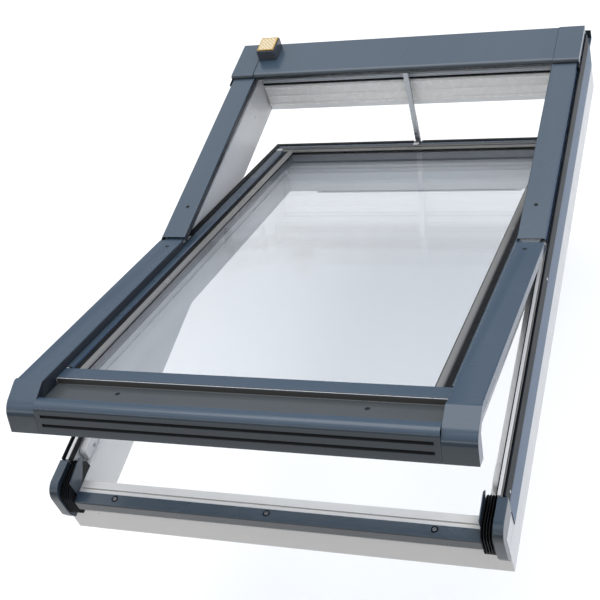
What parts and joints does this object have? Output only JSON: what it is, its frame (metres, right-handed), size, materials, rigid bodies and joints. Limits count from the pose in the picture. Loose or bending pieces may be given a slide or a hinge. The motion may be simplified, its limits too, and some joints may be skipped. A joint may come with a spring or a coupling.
{
  "type": "roof window (skylight)",
  "caption": "Centre-pivot roof skylight with its frame: white frame and glazed sash, blue-grey cladding, chain opener and rain sensor, sash standing open.",
  "frame": {"origin": "centre of the frame's room-side plane, where the frame stands on the roof opening's lining; the window plane is XY", "axes": "+X to the right seen from outside, +Y up the roof slope towards the head, +Z outward, away from the room"},
  "size_m": [0.781, 1.2298, 0.5168],
  "materials": {
    "white_rail": "satin white polyurethane skin",
    "slate_cladding": "satin blue-grey coil coating",
    "slate_shell": "satin moulded",
    "dark_screw": "painted head",
    "steel_screw": "zinc plated",
    "white_moulding": "moulded, satin",
    "black_seal": "matt",
    "dark_plastic": "moulded, matt",
    "sensor_body": "satin dark blue",
    "sensor_plate": "cream film with dark rim",
    "olive_housing": "moulded, fine grain",
    "bare_aluminium": "mill finish",
    "ribbed_cover": "extruded, warm light grey",
    "zinc_steel": "zinc plated pressing",
    "chain_steel": "oiled steel",
    "glass": "clear float glass"
  },
  "bodies": {
    "frame": {"frame_head_rail": "white_rail", "frame_bottom_rail": "white_rail", "frame_left_jamb": "white_rail", "frame_right_jamb": "white_rail", "frame_cladding_left": "slate_cladding", "frame_cladding_right": "slate_cladding", "cladding_screws": "steel_screw", "head_cladding": "slate_cladding", "jamb_rib_left": "white_moulding", "jamb_rib_right": "white_moulding", "channel_gasket_left": "black_seal", "channel_gasket_right": "black_seal", "guide_bush_left": "white_moulding", "guide_bush_right": "white_moulding", "sill_cover": "slate_cladding", "sill_screws": "steel_screw", "corner_seal_left": "black_seal", "corner_seal_right": "black_seal", "corner_shell_left": "slate_shell", "corner_shell_right": "slate_shell", "cover_brackets": "dark_plastic", "upper_cover_left": "slate_cladding", "upper_cover_right": "slate_cladding", "upper_cover_screws": "dark_screw", "head_hood": "slate_cladding", "head_cap_left": "slate_cladding", "head_cap_right": "slate_cladding", "cap_seals": "black_seal", "rain_sensor_body": "sensor_body", "rain_sensor_plate": "sensor_plate", "actuator_housing": "olive_housing", "head_strip": "bare_aluminium", "head_gasket": "black_seal", "ribbed_head_cover": "ribbed_cover", "hinge_plate_left": "zinc_steel", "hinge_plate_right": "zinc_steel", "hinge_pins": "zinc_steel"},
    "sash": {"chain_bracket": "white_moulding", "sash_top_rail": "white_rail", "sash_bottom_rail": "white_rail", "sash_left_rail": "white_rail", "sash_right_rail": "white_rail", "hinge_block_left": "zinc_steel", "hinge_block_right": "zinc_steel", "glazing_seat": "black_seal", "inner_pane": "glass", "pane_spacer": "bare_aluminium", "outer_pane": "glass", "glazing_strips": "slate_cladding", "strip_gasket": "black_seal", "edge_gasket": "black_seal", "front_carrier": "dark_plastic", "front_cover": "slate_cladding", "sash_cover_left": "slate_cladding", "sash_cover_right": "slate_cladding", "sash_cover_clips": "dark_plastic", "sash_screws": "dark_screw"},
    "chain_guide": {"chain_guide": "chain_steel", "drive_chain": "chain_steel"},
    "vent_flap": {"vent_flap": "white_rail"}
  },
  "joints": [
    {"name": "sash_pivot", "type": "hinge", "parent": "frame", "child": "sash", "pos_m": [0, -0.0315, 0.1], "axis": [1, 0, 0], "range_deg": [0, 21.3], "deforming": ["drive_chain"]},
    {"name": "chain_swing", "type": "hinge", "parent": "frame", "child": "chain_guide", "pos_m": [-0.001, 0.5435, 0.144], "axis": [1, 0, 0], "range_deg": [0, 7.5]},
    {"name": "flap_hinge", "type": "hinge", "parent": "sash", "child": "vent_flap", "pos_m": [0, 0.47208, -0.15966], "axis": [1, 0, 0], "range_deg": [0, 30]}
  ],
  "couplings": [
    {"joint": "chain_swing", "follows": "sash_pivot", "ratio": 0.347}
  ]
}
